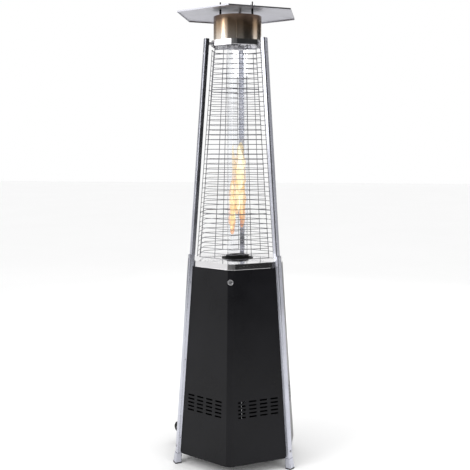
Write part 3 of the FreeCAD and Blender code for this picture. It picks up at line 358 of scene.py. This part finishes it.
def spun(mesh, profile, place, steps, wave=None):
    """Closed ring round local Z from a closed (radius, height) profile, moved to its place."""
    rows = []
    for i in range(steps):
        angle = TURN * i / steps
        row = []
        for radius, height in profile:
            reach = radius + (wave(angle, radius) if wave else 0.0)
            point = Vector((reach * math.cos(angle), reach * math.sin(angle), height))
            row.append(mesh.verts.new(place @ point))
        rows.append(row)
    count = len(profile)
    for i in range(steps):
        low, high = rows[i], rows[(i + 1) % steps]
        for k in range(count):
            n = (k + 1) % count
            mesh.faces.new((low[k], low[n], high[n], high[k]))


def aimed(place, axis):
    """Matrix at a place whose Z points along axis, which isn't vertical, and whose X is level."""
    z = Vector(axis).normalized()
    x = Vector((0, 0, 1)).cross(z).normalized()
    y = z.cross(x)
    turn = Matrix((x, y, z)).transposed().to_4x4()
    return Matrix.Translation(place) @ turn


def centre(node):
    low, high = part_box(node)
    return Vector([(a + b) / 2 for a, b in zip(low, high)])


def joint_named(name):
    return next(joint for joint in frame["joints"] if joint["name"] == name)


# ---------------------------------------------------------------- flame

FLAME_LOW = 1.105
FLAME_HIGH = 1.565
FLAME_REACH = 0.045
# each tongue: foot x, foot y, low z, high z, greatest radius, is a core
TONGUES = (
    (-0.027, 0.004, 1.115, 1.395, 0.0165, False),
    (0.017, -0.004, 1.320, 1.568, 0.0265, False),
    (0.021, 0.008, 1.150, 1.420, 0.0160, False),
    (-0.004, 0.006, 1.215, 1.460, 0.0170, False),
    (-0.018, -0.006, 1.360, 1.555, 0.0080, False),
    (0.013, 0.000, 1.340, 1.550, 0.0185, True),
    (-0.026, 0.002, 1.140, 1.375, 0.0125, True),
    (0.004, 0.004, 1.235, 1.440, 0.0130, True),
    (0.020, 0.002, 1.205, 1.345, 0.0060, True),
)
TONGUE_RINGS = 56
TONGUE_SIDES = 28
# how much a tongue's width pinches, its middle sways and its outline frays
PINCH = 0.45
SWAY_X = 0.010
SWAY_Y = 0.008
FRAY = 0.42
# how fast each of those changes with height, per metre
PINCH_RATE = 24
SWAY_RATE = 11
FRAY_RATE = 26
# a tongue's least radius, at its ends
WISP = 0.0004
# each glow: its colour stops, its strength, and its least and greatest cover
RIM_GLOW = (
    [(0.3, (1.0, 0.28, 0.07)), (0.5, (1.0, 0.52, 0.20)), (0.72, (1.0, 0.80, 0.42))],
    1.05, 0.08, 0.55)
CORE_GLOW = (
    [(0.3, (1.0, 0.55, 0.22)), (0.5, (1.0, 0.83, 0.45)), (0.7, (1.0, 0.95, 0.75))],
    1.5, 0.30, 0.92)


def tongue(mesh, number, foot_x, foot_y, low, high, radius):
    """One ragged tongue: a wavering column that swells, pinches and ends in a wisp."""
    rings = []
    for i in range(TONGUE_RINGS + 1):
        t = i / TONGUE_RINGS
        z = low + (high - low) * t
        body = math.sin(math.pi * min(1.0, t ** 0.8)) ** 0.5
        pinch = 1.0 + PINCH * noise.noise(Vector((number * 7.1, 0, z * PINCH_RATE)))
        reach = max(WISP, radius * body * pinch)
        drift = 0.4 + 0.6 * t
        sway_x = SWAY_X * drift * noise.noise(Vector((number * 3.3, 5, z * SWAY_RATE)))
        sway_y = SWAY_Y * drift * noise.noise(Vector((number * 3.3, 9, z * SWAY_RATE)))
        ring = []
        for k in range(TONGUE_SIDES):
            angle = TURN * k / TONGUE_SIDES
            around = Vector((math.cos(angle) * 1.3, math.sin(angle) * 1.3, z * FRAY_RATE + number))
            ragged = reach * (1.0 + FRAY * noise.noise(around))
            x = foot_x + sway_x + ragged * math.cos(angle)
            y = foot_y + sway_y + ragged * math.sin(angle)
            fit = min(1.0, FLAME_REACH / max(math.hypot(x, y), FLAME_REACH / 10))
            ring.append((x * fit, y * fit, z))
        rings.append(ring)
    loft(mesh, rings)


def make_flame():
    """Orange tongues, and the paler cores inside them."""
    for name, is_core, glow in (("flame_rim", False, RIM_GLOW), ("flame_core", True, CORE_GLOW)):
        look = fire(name, FLAME_LOW, FLAME_HIGH, *glow)
        mesh = bmesh.new()
        for number, (x, y, low, high, radius, core) in enumerate(TONGUES):
            if core == is_core:
                tongue(mesh, number, x, y, low, high, radius)
        add_piece(name, mesh, "frame", look, smooth=True)


# ---------------------------------------------------------------- burner

GAUZE_ROWS = 14
GAUZE_SIDES = 60
GAUZE_GAP = 0.0007
GAUZE_WIRE = 0.0007
# how far the gauze's foot and shoulder lie below the head's top
GAUZE_FOOT = 0.044
GAUZE_SHOULDER = 0.006
# each ring of ports: its radius, and how many ports it has
PORT_RINGS = ((0.006, 6), (0.011, 12))
PORT_PROFILE = ((0.0010, 0.0), (0.0016, 0.0), (0.0013, 0.0005))
PORT_STEPS = 14


def make_burner_gauze(materials):
    """Wire gauze sleeve round the burner head."""
    low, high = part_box("burner_head")
    radius = (high[0] - low[0]) / 2 + GAUZE_GAP
    foot = high[2] - GAUZE_FOOT
    shoulder = high[2] - GAUZE_SHOULDER
    rings = []
    for i in range(GAUZE_ROWS + 1):
        z = foot + (shoulder - foot) * i / GAUZE_ROWS
        angles = [TURN * (k + i % 2 / 2) / GAUZE_SIDES for k in range(GAUZE_SIDES)]
        rings.append([(radius * math.cos(angle), radius * math.sin(angle), z) for angle in angles])
    mesh = bmesh.new()
    loft(mesh, rings, capped=False)
    bmesh.ops.triangulate(mesh, faces=mesh.faces)
    gauze = add_piece("burner_gauze", mesh, "frame", materials["burner_steel"])
    wires = gauze.modifiers.new("wires", "WIREFRAME")
    wires.thickness = GAUZE_WIRE
    wires.use_replace = True


def make_burner_ports(materials):
    """Raised rims of the gas ports on the burner head's top."""
    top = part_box("burner_head")[1][2]
    mesh = bmesh.new()
    for reach, count in PORT_RINGS:
        for k in range(count):
            angle = TURN * k / count
            place = Matrix.Translation((reach * math.cos(angle), reach * math.sin(angle), top))
            spun(mesh, PORT_PROFILE, place, PORT_STEPS)
    add_piece("burner_ports", mesh, "frame", materials["burner_steel"], True)


# ---------------------------------------------------------------- small pieces

SEAM_AZIMUTH = -83
SEAM_MARGIN = 0.006
SEAM_SINK = 0.0012
SEAM_BEVEL = 0.0002
SEAM_BEVEL_ANGLE = 35
# the seam's section: along the collar's wall, and out from it
SEAM_SECTION = (
    (-0.0035, 0.0), (-0.003, 0.0014), (-0.0012, 0.0019),
    (0.0012, 0.0019), (0.003, 0.0014), (0.0035, 0.0))


def make_collar_seam(materials):
    """Folded lock seam up the collar."""
    low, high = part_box("collar")
    radius = (high[0] - low[0]) / 2
    angle = math.radians(SEAM_AZIMUTH)
    out = Vector((math.cos(angle), math.sin(angle), 0))
    across = Vector((-out.y, out.x, 0))
    rings = []
    for z in (low[2] + SEAM_MARGIN, high[2] - SEAM_MARGIN):
        middle = out * (radius - SEAM_SINK) + Vector((0, 0, z))
        rings.append([middle + across * u + out * v for u, v in SEAM_SECTION])
    mesh = bmesh.new()
    loft(mesh, rings)
    slot = "heat_tinted_steel"
    seam = add_piece("collar_seam", mesh, "frame", materials[slot])
    bevel = seam.modifiers.new("bevel", "BEVEL")
    bevel.width = SEAM_BEVEL
    bevel.segments = 2
    bevel.limit_method = "ANGLE"
    bevel.angle_limit = math.radians(SEAM_BEVEL_ANGLE)


LEG_ANGLES = (-150.0, -30.0, 90.0)
HEM_STEP = 0.004
HEM_RADIUS = 0.0012
HEM_SIDES = 10
# how far from a level a vertex may be to count as on it
LEVEL_SPREAD = 0.0006
# each hem: its node, the height of that node's lower edge, and the degrees left open beside a leg
HEMS = {"deck_hem": ("deck", 0.974, 8.5), "top_frame_hem": ("top_frame", 2.020, 9.5)}


def outer_loop(node, level):
    """Convex outline, seen from above, of a CAD node's vertices at one height."""
    flat = sorted({(round(v.co.x, 5), round(v.co.y, 5)) for v in NODES[node].data.vertices
                   if abs(v.co.z - level) < LEVEL_SPREAD})
    sides = []
    for points in (flat, list(reversed(flat))):
        chain = []
        for x, y in points:
            while len(chain) > 1:
                (ax, ay), (bx, by) = chain[-2:]
                if (bx - ax) * (y - ay) - (by - ay) * (x - ax) > 0:
                    break
                chain.pop()
            chain.append((x, y))
        sides += chain[:-1]
    return [Vector((x, y, 0)) for x, y in sides]


def make_hem(name, node, level, clear, material):
    """Rolled bead along a node's lower edge, open beside each leg."""
    loop = outer_loop(node, level)
    dense = []
    for start, end in zip(loop, loop[1:] + loop[:1]):
        steps = max(1, math.ceil((end - start).length / HEM_STEP))
        dense += [start.lerp(end, i / steps) for i in range(steps)]

    def is_clear(point):
        angle = math.degrees(math.atan2(point.y, point.x))
        return all(abs((angle - leg + 180) % 360 - 180) > clear for leg in LEG_ANGLES)

    count = len(dense)
    first = next(i for i in range(count) if not is_clear(dense[i - 1]) and is_clear(dense[i]))
    runs = [[]]
    for i in range(count):
        k = (first + i) % count
        if is_clear(dense[k]):
            ahead, behind = dense[(k + 1) % count], dense[k - 1]
            runs[-1].append((dense[k], (ahead - behind).normalized()))
        elif runs[-1]:
            runs.append([])
    mesh = bmesh.new()
    for run in filter(None, runs):
        rings = []
        for point, along in run:
            out = Vector((along.y, -along.x, 0))
            core = point + Vector((0, 0, level + HEM_RADIUS))
            ring = []
            for k in range(HEM_SIDES):
                angle = TURN * k / HEM_SIDES
                rise = Vector((0, 0, HEM_RADIUS * math.sin(angle)))
                ring.append(core + out * HEM_RADIUS * math.cos(angle) + rise)
            rings.append(ring)
        loft(mesh, rings)
    add_piece(name, mesh, "frame", material, True)


def make_hems(materials):
    slot = "polished_steel"
    for name, (node, level, clear) in HEMS.items():
        make_hem(name, node, level, clear, materials[slot])


GRIP_RIBS = 30
GRIP_STEPS = 180
RIB_HEIGHT = 0.0006
# the grip's inner wall as a share of the knob's radius, and how far its rim lies inside that radius
GRIP_INNER = 0.9
GRIP_INSET = 0.0004
# how far behind the knob's face the grip's front and its rim start
GRIP_FRONT = 0.0008
GRIP_RIM = 0.0020
# how far back the grip reaches, at most, and as a share of the knob's length
GRIP_DEPTH = 0.010
GRIP_SHARE = 0.6
POINTER_HALF = 0.0011
# where the pointer starts and ends, as shares of the knob's radius
POINTER_SPAN = (0.25, 0.82)
# the pointer's foot and crest: how far behind the knob's face, and its share of the full width
POINTER_LEVELS = ((0.0006, 1.0), (-0.0006, 0.7))


def make_knob_grip(materials):
    """Ribbed grip round the control knob, and its raised pointer."""
    low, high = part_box("control_knob")
    middle = centre("control_knob")
    radius = (high[2] - low[2]) / 2
    place = aimed((middle.x, low[1], middle.z), (0, 1, 0))
    inner = radius * GRIP_INNER
    rim = radius - GRIP_INSET
    depth = min(GRIP_DEPTH, (high[1] - low[1]) * GRIP_SHARE)

    def ribs(angle, reach):
        return RIB_HEIGHT * max(0.0, math.cos(angle * GRIP_RIBS)) if reach > inner else 0.0

    mesh = bmesh.new()
    section = [(inner, GRIP_FRONT), (rim, GRIP_RIM), (rim, depth), (inner, depth)]
    spun(mesh, section, place, GRIP_STEPS, ribs)
    add_piece("knob_grip", mesh, "knob", materials["black_plastic"])
    start, end = (radius * share for share in POINTER_SPAN)
    rings = []
    for height, narrow in POINTER_LEVELS:
        half = POINTER_HALF * narrow
        rings.append([place @ Vector((x, y, height)) for x, y in (
            (-half, start), (half, start), (half, end), (-half, end))])
    mesh = bmesh.new()
    loft(mesh, rings)
    add_piece("knob_pointer", mesh, "knob", materials["electrode_ceramic"])


# each rim's section: out from its node's radius, and forward from its place
LOCK_RING = ((-0.0020, 0.0), (-0.0002, 0.0), (-0.0006, 0.0008), (-0.0016, 0.0008))
PLUG_RIM = ((-0.0012, 0.0), (-0.0002, 0.0), (-0.0004, 0.0003), (-0.0010, 0.0003))
# how far each rim is set back from its node's front
LOCK_RING_SINK = 0.0012
PLUG_RIM_SINK = 0.0006
LOCK_RING_STEPS = 48
PLUG_RIM_STEPS = 40
# how far the lock's axis rises for each unit that it comes forward
LOCK_RISE = 0.076


def make_lock_details(materials):
    """Rings round the lock's face and round its plug."""
    joint = joint_named("lock_turn")
    axis = Vector(joint["axis"]).normalized()
    across, _, up = joint["pos_m"]
    low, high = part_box("lock_barrel")
    middle = centre("lock_barrel")
    radius = (high[0] - low[0]) / 2
    front = Vector((across, low[1], middle.z + (middle.y - low[1]) * LOCK_RISE))
    place = aimed(front + axis * LOCK_RING_SINK, -axis)
    mesh = bmesh.new()
    spun(mesh, [(radius + out, height) for out, height in LOCK_RING], place, LOCK_RING_STEPS)
    add_piece("lock_ring", mesh, "door", materials["lock_chrome"], True)
    low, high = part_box("lock_core")
    radius = (high[0] - low[0]) / 2
    front = Vector((across, low[1], up))
    place = aimed(front + axis * PLUG_RIM_SINK, -axis)
    mesh = bmesh.new()
    spun(mesh, [(radius + out, height) for out, height in PLUG_RIM], place, PLUG_RIM_STEPS)
    add_piece("plug_rim", mesh, "lock", materials["burner_black"], True)


TREAD_RIBS = 36
TREAD_HALF = 0.0075
TREAD_SLANT = 0.0014
# a rib's foot and crest: out from the tyre's radius, and half its width there
TREAD_LEVELS = ((-0.0010, 0.0016), (0.0006, 0.0009))


def make_wheel_details(materials):
    """Slanted tread ribs on each transport wheel."""
    half = TREAD_HALF
    for node, joint_name in (("wheel_left", "wheel_a_spin"), ("wheel_right", "wheel_b_spin")):
        joint = joint_named(joint_name)
        low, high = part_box(node)
        radius = (high[2] - low[2]) / 2
        place = aimed(Vector(joint["pos_m"]), Vector(joint["axis"]))
        mesh = bmesh.new()
        for k in range(TREAD_RIBS):
            turn = Matrix.Rotation(TURN * k / TREAD_RIBS, 4, "Z")
            rings = []
            for rise, wide in TREAD_LEVELS:
                reach = radius + rise
                rings.append([place @ turn @ Vector(point) for point in (
                    (reach, -wide, -half), (reach, wide, -half),
                    (reach, wide + TREAD_SLANT, half), (reach, -wide + TREAD_SLANT, half))])
            loft(mesh, rings)
        add_piece(node + "_tread", mesh, joint["child"], materials["wheel_rubber"])


# the dish's section: as a share of the button's radius, and forward from its front
DISH_SECTION = ((0.55, -0.0002), (0.92, -0.0002), (0.86, 0.0006), (0.70, 0.0008))
DISH_STEPS = 48


def make_button_dish(materials):
    """Dished ring on the igniter's button."""
    low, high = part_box("igniter_button")
    middle = centre("igniter_button")
    radius = (high[0] - low[0]) / 2
    place = aimed((middle.x, low[1], middle.z), (0, -1, 0))
    mesh = bmesh.new()
    spun(mesh, [(radius * share, height) for share, height in DISH_SECTION], place, DISH_STEPS)
    add_piece("button_dish", mesh, "igniter", materials["button_red"], True)


# ---------------------------------------------------------------- studio

FLOOR_HALF = 30.0
CAMERA_AZIMUTH = -82.5
CARD_REACH = 6.0
CARD_TALL = 7.0
# each card: where it starts and ends, in degrees to the right of the camera, and its shade
CARDS = {
    "card_front_left": (-50.0, -12.0, 0.13),
    "card_front": (-12.0, 28.0, 0.10),
    "card_right": (28.0, 80.0, 0.025),
    "card_rear_right": (106.0, 150.0, 0.05),
    "card_rear_left": (-168.0, -124.0, 0.3),
}
FLOOR_SHADES = ((NOISE_LOW, (0.94, 0.94, 0.94)), (NOISE_HIGH, (0.955, 0.955, 0.955)))
# each lamp: its place, the height it aims at, its width and height, its power, and the rays
# that it is hidden from
LAMPS = {
    "strip": ((-4.2, -2.0, 3.2), 1.6, 1.3, 3.2, 38.0, "visible_diffuse"),
    "key": ((-3.2, -3.4, 3.6), 1.1, 2.4, 2.4, 90.0, "visible_glossy"),
    "fill": ((3.6, -2.2, 2.4), 1.1, 2.6, 2.6, 30.0, "visible_glossy"),
    "rim": ((0.5, 3.8, 3.4), 1.1, 2.6, 2.6, 45.0, "visible_glossy"),
}


def stage_sheet(name, corners, material):
    mesh = bmesh.new()
    mesh.faces.new([mesh.verts.new(corner) for corner in corners])
    data = bpy.data.meshes.new(name)
    mesh.to_mesh(data)
    mesh.free()
    sheet = bpy.data.objects.new(name, data)
    data.materials.append(material)
    bpy.context.scene.collection.objects.link(sheet)
    return sheet


def make_floor():
    floor = Nodes("studio_floor")
    floor.colour(floor.noise(scale=0.7, detail=3), FLOOR_SHADES)
    floor.set(Roughness=0.75)
    half = FLOOR_HALF
    stage_sheet("studio_floor", (
        (-half, -half, 0), (half, -half, 0), (half, half, 0), (-half, half, 0)), floor.material)


def make_cards():
    """Grey sheets that only the object's reflections show."""
    up = Vector((0, 0, CARD_TALL))
    for name, (start, end, shade) in CARDS.items():
        look = Nodes(name)
        stops = [(NOISE_LOW, [shade] * 3), (NOISE_HIGH, [shade * 1.2] * 3)]
        look.colour(look.noise(scale=2.0, detail=2), stops)
        look.set(Roughness=0.9, Specular_IOR_Level=0.0)
        ends = []
        for angle in (start, end):
            turn = math.radians(CAMERA_AZIMUTH + angle)
            ends.append(Vector((math.cos(turn), math.sin(turn), 0)) * CARD_REACH)
        first, last = ends
        card = stage_sheet(name, (first, last, last + up, first + up), look.material)
        card.visible_camera = False
        card.visible_shadow = False
        card.visible_diffuse = False
        card.visible_transmission = False


def make_light():
    world = bpy.data.worlds.new("studio")
    bpy.context.scene.world = world
    world.use_nodes = True
    back = world.node_tree.nodes["Background"]
    back.inputs["Color"].default_value = (1.0, 1.0, 1.0, 1.0)
    back.inputs["Strength"].default_value = 1.0
    for name, (place, aim, wide, tall, power, hidden) in LAMPS.items():
        data = bpy.data.lights.new(name, "AREA")
        data.shape = "RECTANGLE"
        data.size = wide
        data.size_y = tall
        data.energy = power
        lamp = bpy.data.objects.new(name, data)
        lamp.matrix_world = aimed(place, Vector(place) - Vector((0, 0, aim)))
        setattr(lamp, hidden, False)
        bpy.context.scene.collection.objects.link(lamp)
    bpy.context.scene.view_settings.view_transform = "Standard"


# ---------------------------------------------------------------- all

make_camera()
MATERIALS = make_materials()
dress_nodes(MATERIALS)
make_flame()
make_burner_gauze(MATERIALS)
make_burner_ports(MATERIALS)
make_collar_seam(MATERIALS)
make_hems(MATERIALS)
make_knob_grip(MATERIALS)
make_lock_details(MATERIALS)
make_wheel_details(MATERIALS)
make_button_dish(MATERIALS)
make_floor()
make_cards()
make_light()

bpy.context.view_layer.update()
